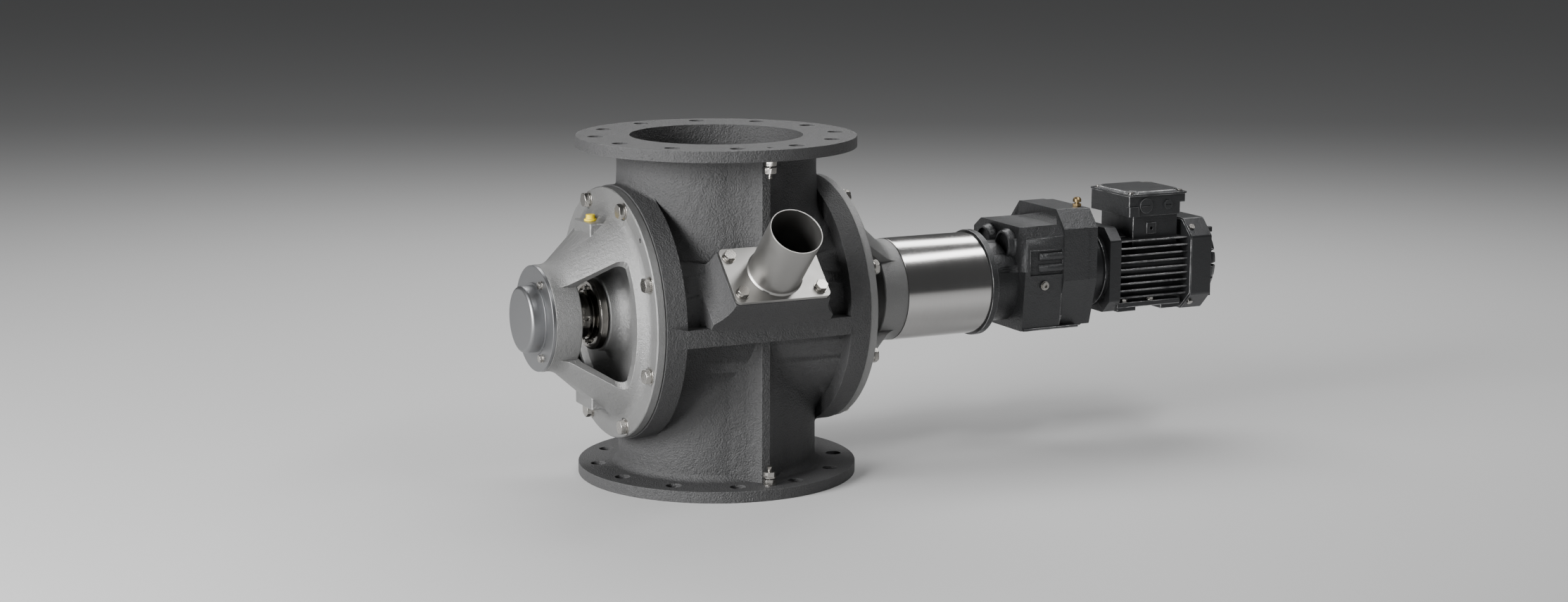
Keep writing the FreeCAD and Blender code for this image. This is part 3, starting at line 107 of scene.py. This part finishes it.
# The casing: a sand-cast iron barrel with necks, flanges and ribs, under a matte grey coat. As
# the first piece it also brings what every finish is made with: node groups with named sockets,
# built once and placed in each material, and the easing of a casting's edges.
def link_group(name, inputs, outputs, build):
    """Makes a node group: its float and vector sockets, then its nodes by the build function."""
    tree = bpy.data.node_groups.new(name, "ShaderNodeTree")
    for label, kind, value in inputs:
        socket = tree.interface.new_socket(label, in_out="INPUT", socket_type=kind)
        if value is not None:
            socket.default_value = value
    for label, kind in outputs:
        tree.interface.new_socket(label, in_out="OUTPUT", socket_type=kind)
    start, end = tree.nodes.new("NodeGroupInput"), tree.nodes.new("NodeGroupOutput")
    build(tree, start.outputs, end.inputs)
    return tree


def add(tree, kind, settings=None, **sockets):
    """A new node, with its settings, and its sockets set to a value or linked to an output. A
    socket goes by its name, or by its number after a low line."""
    made = tree.nodes.new(kind)
    for name, value in (settings or {}).items():
        setattr(made, name, value)
    for name, value in sockets.items():
        socket = made.inputs[int(name[1:])] if name[1:].isdigit() else made.inputs[name]
        if isinstance(value, bpy.types.NodeSocket):
            tree.links.new(value, socket)
        else:
            socket.default_value = value
    return made


def sums(tree, way, one, two, clamp=False):
    """The result of a Math node with two inputs."""
    settings = {"operation": way, "use_clamp": clamp}
    return add(tree, "ShaderNodeMath", settings, _0=one, _1=two).outputs[0]


FLOAT, VECTOR = "NodeSocketFloat", "NodeSocketVector"


def build_grain(tree, given, result):
    """Sand-cast skin: fine grains, wider dimples and a slow change of tone."""
    dimple_scale, dimple_height, drift_scale = 0.22, 0.8, 6.0
    fine = add(tree, "ShaderNodeTexNoise", Vector=given["Place"], Scale=given["Grains"],
               Detail=3.0, Roughness=0.6).outputs["Fac"]
    wide_scale = sums(tree, "MULTIPLY", given["Grains"], dimple_scale)
    wide = add(tree, "ShaderNodeTexNoise", Vector=given["Place"], Scale=wide_scale,
               Detail=2.0).outputs["Fac"]
    slow = add(tree, "ShaderNodeTexNoise", Vector=given["Place"], Scale=drift_scale,
               Detail=3.0).outputs["Fac"]
    height = sums(tree, "ADD", fine, sums(tree, "MULTIPLY", wide, dimple_height))
    spread = {"From Min": 0.3, "From Max": 0.7, "To Min": -1.0, "To Max": 1.0}
    tone = add(tree, "ShaderNodeMapRange", Value=slow, **spread)
    tree.links.new(height, result["Height"])
    tree.links.new(tone.outputs[0], result["Tone"])
    tree.links.new(fine, result["Speck"])


grain_group = link_group(
    "cast_grain", [("Place", VECTOR, None), ("Grains", FLOAT, 900.0)],
    [("Height", FLOAT), ("Tone", FLOAT), ("Speck", FLOAT)], build_grain)


def build_wear_and_sheen(tree, given, result):
    """Rubbed edges, and on the dark coats a painted highlight: the eased edge faces of a piece,
    broken up by noise.
    """
    edge = add(tree, "ShaderNodeAttribute", {"attribute_name": "edge"}).outputs["Fac"]
    noise = add(tree, "ShaderNodeTexNoise", Vector=given["Place"], Scale=given["Breaks"],
                Detail=4.0, Roughness=0.7).outputs["Fac"]
    breaks = {"From Min": 0.35, "From Max": 0.62}
    broken = add(tree, "ShaderNodeMapRange", Value=noise, **breaks).outputs[0]
    mask = sums(tree, "MULTIPLY", edge, broken)
    tree.links.new(sums(tree, "MULTIPLY", mask, given["Amount"], True), result["Mask"])


wear_and_sheen_group = link_group(
    "rubbed_edges_and_sheen", [("Place", VECTOR, None), ("Breaks", FLOAT, 40.0), ("Amount", FLOAT, 1.0)],
    [("Mask", FLOAT)], build_wear_and_sheen)


def cast_material(name, colour, worn_and_sheen, roughness, metallic=0.0, grains=900.0, depth=0.0004,
                  wear_and_sheen=0.6, spread=0.06, coat=0.0):
    """A cast surface: grain in its height, a slow drift of tone, and paler edges, which are rubbed
    wear on most finishes and a painted highlight on the dark coats.
    """
    made = bpy.data.materials.new(name)
    made.use_nodes = True
    tree = made.node_tree
    shader = tree.nodes["Principled BSDF"]
    place = add(tree, "ShaderNodeTexCoord").outputs["Object"]
    grain = add(tree, "ShaderNodeGroup", {"node_tree": grain_group}, Place=place, Grains=grains)
    rubbed_and_sheen = add(tree, "ShaderNodeGroup", {"node_tree": wear_and_sheen_group}, Place=place, Amount=wear_and_sheen)
    speck_share, speck_least, drift_gloss, rubbed_gloss = 0.24, 0.88, 0.05, 0.15
    tone = sums(tree, "ADD", 1.0, sums(tree, "MULTIPLY", grain.outputs["Tone"], spread))
    speck = sums(tree, "ADD", sums(tree, "MULTIPLY", grain.outputs["Speck"], speck_share),
                 speck_least)
    tone = sums(tree, "MULTIPLY", tone, speck)
    base = add(tree, "ShaderNodeVectorMath", {"operation": "SCALE"}, _0=colour, Scale=tone)
    # Mixes in the pale edge colour: rubbed wear, and on the dark coats a painted highlight along
    # the rounds.
    mixed = add(tree, "ShaderNodeMix", {"data_type": "RGBA"}, _0=rubbed_and_sheen.outputs["Mask"],
                _6=base.outputs[0], _7=(*worn_and_sheen, 1))
    tree.links.new(mixed.outputs[2], shader.inputs["Base Color"])
    drift = sums(tree, "MULTIPLY", grain.outputs["Tone"], drift_gloss)
    shine = sums(tree, "MULTIPLY", rubbed_and_sheen.outputs["Mask"], rubbed_gloss)
    gloss = sums(tree, "SUBTRACT", sums(tree, "ADD", roughness, drift), shine, True)
    tree.links.new(gloss, shader.inputs["Roughness"])
    shader.inputs["Metallic"].default_value = metallic
    shader.inputs["Coat Weight"].default_value = coat
    shader.inputs["Coat Roughness"].default_value = 0.3
    bump = add(tree, "ShaderNodeBump", Strength=1.0, Distance=depth,
               Height=grain.outputs["Height"])
    tree.links.new(bump.outputs[0], shader.inputs["Normal"])
    return made


def finish_piece(name, shape, material, source, body, smooth=32):
    """Turns a bmesh into an object with one material and shading split at its sharp edges. It
    stands for one CAD node and rides on a body."""
    mesh = bpy.data.meshes.new(name)
    for face in shape.faces:
        face.smooth = True
    shape.to_mesh(mesh)
    shape.free()
    mesh.set_sharp_from_angle(angle=math.radians(smooth))
    mesh.materials.append(material)
    piece = bpy.data.objects.new(name, mesh)
    bpy.context.scene.collection.objects.link(piece)
    level = piece.modifiers.new("level", "WEIGHTED_NORMAL")
    level.keep_sharp = True
    level.weight = 80
    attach(piece, body)
    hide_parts(source)


def has_room(edge, room):
    """True where the faces beside an edge are wider than room, and the edges at its ends longer."""
    return (all(2 * face.calc_area() > room * face.calc_perimeter() for face in edge.link_faces)
            and all(other.calc_length() > room for end in edge.verts for other in end.link_edges))


def skin_area(shape):
    """The area of the triangles that the faces are drawn with, which grows where a face folds."""
    return sum((b.vert.co - a.vert.co).cross(c.vert.co - a.vert.co).length / 2
               for a, b, c in shape.calc_loop_triangles())


def ease_edges(shape, width, steps=2, turn=25):
    """Rounds the sharp edges, wide where there is room and then narrower, marks the new faces,
    and goes back a step where a round would fold the skin."""
    room_for_round, most_growth = 2.5, 1.0001
    if not shape.faces.layers.float.get("edge"):
        shape.faces.layers.float.new("edge")
    for share in (1, 0.6, 0.35, 0.15):
        offset = width * share
        area = skin_area(shape)
        kept = shape.copy()
        sharp = [edge for edge in shape.edges if len(edge.link_faces) == 2
                 and edge.calc_face_angle_signed(0) > math.radians(turn)
                 and has_room(edge, offset * room_for_round)]
        eased = bmesh.ops.bevel(shape, geom=sharp, offset=offset, offset_type="OFFSET",
                                segments=steps, affect="EDGES", profile=0.5, material=-1,
                                clamp_overlap=False)
        mark = shape.faces.layers.float["edge"]
        for face in eased["faces"]:
            face[mark] = 1
        if skin_area(shape) > area * most_growth:
            shape.free()
            shape = kept
        else:
            kept.free()
    return shape


def dress(name, source, body, material, width, steps=2):
    """A merged copy of a CAD node, with its edges eased by width and its own finish."""
    shape = bmesh.new()
    shape.from_mesh(node[source].data)
    bmesh.ops.remove_doubles(shape, verts=shape.verts, dist=2e-6)
    bmesh.ops.dissolve_limit(shape, angle_limit=math.radians(0.6), verts=shape.verts,
                             edges=shape.edges)
    finish_piece(name, ease_edges(shape, width, steps), material, source, body)


def repaint(source, material):
    """Keeps a CAD node as it is, with a better finish."""
    node[source].data.materials.clear()
    node[source].data.materials.append(material)


iron_grey = cast_material("grey_coated_iron", (0.057, 0.057, 0.058), (0.14, 0.14, 0.14), 0.50,
                          grains=420.0, depth=0.0022, wear_and_sheen=0.35, spread=0.12)
dress("casing", "valve_body", "housing", iron_grey, 0.0008)


# The vent branch: a satin stainless plate with a tube welded to it. Four hexagon bolts hold
# the plate over a thin black gasket.
def build_lines(tree, given, result):
    """Polishing lines: noise drawn out along the directions where Pull is small."""
    drawn = add(tree, "ShaderNodeVectorMath", {"operation": "MULTIPLY"}, _0=given["Place"],
                _1=given["Pull"]).outputs[0]
    lines = add(tree, "ShaderNodeTexNoise", Vector=drawn, Scale=1.0, Detail=2.0).outputs["Fac"]
    slow = add(tree, "ShaderNodeTexNoise", Vector=given["Place"], Scale=9.0,
               Detail=4.0).outputs["Fac"]
    tree.links.new(lines, result["Lines"])
    tree.links.new(slow, result["Cloud"])


lines_group = link_group("polish_lines", [("Place", VECTOR, None), ("Pull", VECTOR, (1, 1, 1))],
                         [("Lines", FLOAT), ("Cloud", FLOAT)], build_lines)


def steel_material(name, colour, roughness, pull, depth=0.00002, uneven=0.10, stain=0.12):
    """Bare metal with polishing lines in its height and roughness, and a cloudy tint."""
    made = bpy.data.materials.new(name)
    made.use_nodes = True
    tree = made.node_tree
    shader = tree.nodes["Principled BSDF"]
    place = add(tree, "ShaderNodeTexCoord").outputs["Object"]
    lines = add(tree, "ShaderNodeGroup", {"node_tree": lines_group}, Place=place, Pull=pull)
    cloud = sums(tree, "SUBTRACT", lines.outputs["Cloud"], 0.5)
    streak = sums(tree, "SUBTRACT", lines.outputs["Lines"], 0.5)
    tone = sums(tree, "ADD", sums(tree, "MULTIPLY", cloud, stain),
                sums(tree, "MULTIPLY", streak, stain))
    base = add(tree, "ShaderNodeVectorMath", {"operation": "SCALE"}, _0=colour,
               Scale=sums(tree, "ADD", tone, 1.0))
    tree.links.new(base.outputs[0], shader.inputs["Base Color"])
    gloss = sums(tree, "ADD", sums(tree, "MULTIPLY", cloud, uneven),
                 sums(tree, "MULTIPLY", streak, uneven))
    tree.links.new(sums(tree, "ADD", gloss, roughness, True), shader.inputs["Roughness"])
    shader.inputs["Metallic"].default_value = 1
    bump = add(tree, "ShaderNodeBump", Strength=1.0, Distance=depth,
               Height=lines.outputs["Lines"])
    tree.links.new(bump.outputs[0], shader.inputs["Normal"])
    return made


satin_steel = steel_material("satin_stainless", (0.40, 0.393, 0.38), 0.40, (60, 60, 60),
                             uneven=0.12)
bright_steel = steel_material("bright_stainless", (0.46, 0.445, 0.42), 0.27, (900, 900, 900))
dress("vent_branch_welded", "vent_branch", "housing", satin_steel, 0.0007)
black_rubber = cast_material("black_rubber", (0.012, 0.012, 0.012), (0.03, 0.03, 0.03), 0.7,
                             grains=1500, depth=0.0001, wear_and_sheen=0.2)
repaint("vent_gasket", black_rubber)


def place_along(spot, out, spin=0.0):
    """The placement that turns +Z to the outward direction at a spot."""
    turn = Vector(out).to_track_quat("Z", "Y").to_matrix().to_4x4()
    return Matrix.Translation(spot) @ turn @ Matrix.Rotation(spin, 4, "Z")


def disc(shape, place, radius, low, high, segments=40):
    """A round or many-sided bar between two heights on a placement's own Z."""
    middle = place @ Matrix.Translation((0, 0, (low + high) / 2))
    return bmesh.ops.create_cone(shape, cap_ends=True, segments=segments, radius1=radius,
                                 radius2=radius, depth=high - low, matrix=middle)["verts"]


def hexagon_head(shape, place, flats, low, high):
    """A hexagon head whose outer corners are chamfered."""
    chamfer, close = flats * 0.11, 1e-6
    verts = disc(shape, place, flats / math.sqrt(3), low, high, segments=6)
    outer = [v for v in verts if (place.inverted() @ v.co).z > high - close]
    bmesh.ops.bevel(shape, geom=outer, offset=chamfer, affect="VERTICES", segments=1,
                    profile=0.5, material=-1)


def hexagon_bolts(name, source, places, thread, flats, shank):
    """Bolts for a list of placements: plain washer, spring washer, head and shank."""
    shape = bmesh.new()
    thin = thread * 0.16
    washer_top, spring_top = thin * 0.7, thin * 1.6
    head_top = spring_top + thread * 0.60
    washer_radius, spring_radius, shank_radius = flats * 0.62, flats * 0.50, thread * 0.46
    for place in places:
        disc(shape, place, washer_radius, 0, washer_top)
        disc(shape, place, spring_radius, washer_top, spring_top)
        hexagon_head(shape, place, flats, spring_top, head_top)
        disc(shape, place, shank_radius, -shank, 0, segments=20)
    shape = ease_edges(shape, thread * 0.035, steps=1, turn=35)
    finish_piece(name, shape, bright_steel, source, "housing")


axis_height = sum(corner.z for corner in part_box("rotor_shaft")) / 2
spins = random.Random(11)
vent_out = Vector((0, -1, 1)).normalized()
vent_down = Vector((0, -1, -1)).normalized()
vent_reach, vent_drop, half_long, half_wide = 0.190, 0.0835, 0.060, 0.031
vent_middle = Vector((0, 0, axis_height)) + vent_out * vent_reach + vent_down * vent_drop
vent_places = [place_along(vent_middle + Vector((along, 0, 0)) + vent_down * across, vent_out,
                           spins.uniform(0, 1))
               for along in (-half_long, half_long) for across in (-half_wide, half_wide)]
hexagon_bolts("vent_bolt_set", "vent_bolts", vent_places, thread=0.010, flats=0.016, shank=0.024)


# Earth studs: one on each flange at the front, threaded, with a lock nut against the flange and
# a second nut that clamps the lead between two washers.
def threaded_rod(shape, place, radius, low, high):
    """A rod cut into crest and root rings, which reads as a thread."""
    pitch, root_share = 0.0015, 0.86
    rings = int((high - low) / pitch) * 2
    along = place.to_3x3() @ Vector((0, 0, 1))
    rod = dict.fromkeys(disc(shape, place, radius, low, high, segments=24))
    for step in range(1, rings):
        centre = place @ Vector((0, 0, low + (high - low) * step / rings))
        inside = [part for part in (*shape.edges, *shape.faces)
                  if all(v in rod for v in part.verts)]
        cut = bmesh.ops.bisect_plane(shape, geom=[*rod, *inside], dist=1e-7, plane_co=centre,
                                     plane_no=along)
        fresh = [part for part in cut["geom_cut"] if isinstance(part, bmesh.types.BMVert)]
        rod.update(dict.fromkeys(fresh))
        if step % 2:
            for v in fresh:
                v.co = centre + (v.co - centre) * root_share


def earth_stud_pair():
    """Two studs, each with two nuts on washers and a gap for the lead between them."""
    shape = bmesh.new()
    low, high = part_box("earth_studs")
    reach, flange = (low.y + high.y) / 2, 0.0165
    rod_radius, rod_foot, rod_top = 0.0048, -0.010, 0.027
    washer_radius, washer_thick, second_washer = 0.009, 0.0016, 0.0106
    nut_flats, nut_high, second_turn = 0.016, 0.007, 0.3
    for level, way in ((low.z + flange, 1), (high.z - flange, -1)):
        place = place_along((0, reach, level), (0, 0, way))
        threaded_rod(shape, place, rod_radius, rod_foot, rod_top)
        for foot, turn in ((0, 0), (second_washer, second_turn)):
            nut_foot = foot + washer_thick
            disc(shape, place, washer_radius, foot, nut_foot)
            hexagon_head(shape, place @ Matrix.Rotation(turn, 4, "Z"), nut_flats, nut_foot,
                         nut_foot + nut_high)
    finish_piece("earth_stud_set", shape, bright_steel, "earth_studs", "housing", smooth=40)


earth_stud_pair()


# End covers: cast in light metal, blasted to a fine even sparkle, with rounded edges. Eight
# stainless bolts with washers hold each one, and a yellow plastic plug closes the purge hole.
blasted_metal = cast_material("blasted_light_metal", (0.29, 0.29, 0.288), (0.46, 0.46, 0.45), 0.42,
                              metallic=0.75, grains=900.0, depth=0.0009, wear_and_sheen=0.35, spread=0.06)
for side in ("free", "drive"):
    dress("cover_casting_" + side, "end_cover_" + side, "housing", blasted_metal, 0.0022, steps=3)
repaint("cover_seals", black_rubber)


def bolt_circle(face, way, reach, count, first):
    """Placements round the rotor axis, on an end face and pointing out of it."""
    places = []
    for step in range(count):
        angle = math.radians(first + 360 / count * step)
        spot = (way * face, reach * math.cos(angle), axis_height + reach * math.sin(angle))
        places.append(place_along(spot, (way, 0, 0), spins.uniform(0, 1)))
    return places


cover_face, cover_reach = 0.1715, 0.167
cover_places = (bolt_circle(cover_face, -1, cover_reach, count=8, first=22.5)
                + bolt_circle(cover_face, 1, cover_reach, count=8, first=22.5))
hexagon_bolts("cover_bolt_set", "cover_bolts", cover_places, thread=0.012, flats=0.0192,
              shank=0.030)

yellow_plastic = cast_material("yellow_plastic", (0.90, 0.68, 0.012), (0.92, 0.74, 0.08), 0.38,
                               grains=600.0, depth=0.00005, wear_and_sheen=0.5, spread=0.04)
dress("purge_plug_pair", "purge_plugs", "housing", yellow_plastic, 0.0006)


# Shaft seals and bearings: packing rings in the stuffing box, a polished stainless gland with
# two studs, and a clamp collar on the ground shaft between the arms.
dark_steel = steel_material("polished_dark_steel", (0.36, 0.345, 0.32), 0.16, (900, 30, 30),
                            uneven=0.14)
ground_steel = steel_material("ground_steel", (0.50, 0.50, 0.49), 0.22, (1500, 20, 20))
dress("gland_pair", "glands", "housing", dark_steel, 0.0006)
dress("gland_stud_set", "gland_studs", "housing", bright_steel, 0.0004)
dress("collar_pair", "shaft_collars", "rotor_train", dark_steel, 0.0008)
pale_packing = cast_material("pale_packing", (0.55, 0.52, 0.42), (0.6, 0.57, 0.5), 0.8,
                             grains=700.0, depth=0.0004)
repaint("packing_rings", pale_packing)
for hidden in ("bearing_outer_rings", "bearing_inner_rings", "shaft_nuts", "rotor_shaft"):
    repaint(hidden, ground_steel)


# Bearing cap and ring: turned and deep-rounded light metal, smooth and bluish, each held by
# three small hexagon screws.
cap_metal = steel_material("turned_light_metal", (0.290, 0.293, 0.300), 0.42, (1200, 12, 12),
                           uneven=0.06, stain=0.08)
dress("cap_free", "bearing_cap_free", "housing", cap_metal, 0.0012, steps=3)
repaint("bearing_ring_drive", cap_metal)
cap_face, ring_face, cap_reach = 0.283, 0.288, 0.060
cap_places = (bolt_circle(cap_face, -1, cap_reach, count=3, first=0)
              + bolt_circle(ring_face, 1, cap_reach, count=3, first=0))
hexagon_bolts("cap_screw_set", "cap_screws", cap_places, thread=0.006, flats=0.010, shank=0.012)


# The rotor: eight milled steel vanes on a hub, seen down through the inlet. It sits on the
# shaft and turns close inside the casing's barrel.
milled_steel = steel_material("milled_rotor_steel", (0.42, 0.41, 0.39), 0.34, (8, 400, 400),
                              uneven=0.15)
dress("vane_rotor", "rotor", "rotor_train", milled_steel, 0.0006)


# The guard: a rolled stainless tube round the coupling, brushed round its length so that lights
# stretch into long bands. Inside it the coupling joins the shafts.
guard_steel = steel_material("brushed_guard_steel", (0.56, 0.55, 0.54), 0.17, (1800, 10, 10),
                             depth=0.00003, uneven=0.10, stain=0.16)
dress("guard_tube", "coupling_guard", "housing", guard_steel, 0.0006)
for part in ("coupling_hub_valve", "coupling_hub_gearbox"):
    repaint(part, iron_grey)
repaint("coupling_star", cast_material("red_elastomer", (0.35, 0.03, 0.02), (0.4, 0.06, 0.04), 0.5,
                                       grains=500.0, depth=0.00005))


# The gear train, closed in its case: ground steel wheels and pinions on three shafts, and the
# motor's shaft that drives them, each in its bearings.
for part in ("output_gear", "last_pinion", "middle_gear", "middle_pinion", "first_gear",
             "motor_pinion", "last_countershaft", "first_countershaft", "output_shaft",
             "countershaft_bearings", "output_bearings", "motor_shaft", "motor_bearings"):
    repaint(part, ground_steel)


# The gear unit: two castings with a pebbled dark coat that carries a painted highlight along
# the edges, a socket plug on the side and a small brass breather on top.
# The pale edge colour, laid on strongly, is a painted highlight along the rounded edges.
dark_coat = cast_material("dark_pebbled_coat", (0.056, 0.057, 0.059), (0.52, 0.52, 0.525), 0.32,
                          grains=420.0, depth=0.0011, wear_and_sheen=1.3, spread=0.10, coat=0.2,
                          metallic=0.55)
dress("gear_case", "gearbox_housing", "housing", dark_coat, 0.0040, steps=3)
dress("gear_case_cover", "gearbox_rear_cover", "housing", dark_coat, 0.0030, steps=3)
brass = steel_material("plain_brass", (0.36, 0.26, 0.13), 0.34, (700, 700, 30))
dress("breather_plug", "gearbox_breather", "housing", brass, 0.0004)
dress("socket_plug", "oil_plug", "housing", bright_steel, 0.0004)


# The motor: a finned aluminium frame under a like dark coat with a smoother skin, and shields
# at both ends. The fan behind the rear shield runs under a drawn sheet cowl.
# The pale edge colour, laid on strongly, is a painted highlight along the edges and fin tips.
motor_coat = cast_material("dark_motor_coat", (0.042, 0.043, 0.045), (0.44, 0.44, 0.445), 0.30,
                           grains=700.0, depth=0.0004, wear_and_sheen=1.2, spread=0.08, coat=0.2,
                           metallic=0.5)
dress("adapter_ring", "motor_adapter", "housing", motor_coat, 0.0010)
dress("front_shield", "motor_front_shield", "housing", motor_coat, 0.0020)
dress("finned_frame", "motor_frame", "housing", motor_coat, 0.0007, steps=1)
low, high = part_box("foot_bolts")
foot_thick, bolt_inset = 0.007, 0.00605
foot_places = [place_along((x, y, low.z + foot_thick), (0, 0, 1), spins.uniform(0, 1))
               for x in (low.x + bolt_inset, high.x - bolt_inset)
               for y in (low.y + bolt_inset, high.y - bolt_inset)]
hexagon_bolts("foot_bolt_set", "foot_bolts", foot_places, thread=0.006, flats=0.0096,
              shank=foot_thick)
dress("rear_shield", "motor_rear_shield", "housing", motor_coat, 0.0008)
dress("cowl", "fan_cowl", "housing", motor_coat, 0.0008)
dress("cowl_screw_set", "cowl_screws", "housing", bright_steel, 0.0004)
laminated = steel_material("laminated_steel", (0.22, 0.22, 0.23), 0.45, (1500, 5, 5))
for part in ("stator_core", "motor_rotor_core"):
    repaint(part, laminated)
repaint("cooling_fan", cast_material("black_fan_plastic", (0.02, 0.02, 0.02), (0.05, 0.05, 0.05),
                                     0.5, grains=500.0, depth=0.00005))


# The terminal box: a cast tray with its lid on the frame's seat, under the motor's coat. Four
# screws hold the lid, and plugs blank the two cable entries.
dress("tray", "terminal_box", "housing", motor_coat, 0.0012)
dress("lid", "terminal_lid", "housing", motor_coat, 0.0012, steps=3)
dress("lid_screw_set", "lid_screws", "housing", bright_steel, 0.0004)
dress("entry_plug_pair", "cable_entry_plugs", "housing", motor_coat, 0.0006)
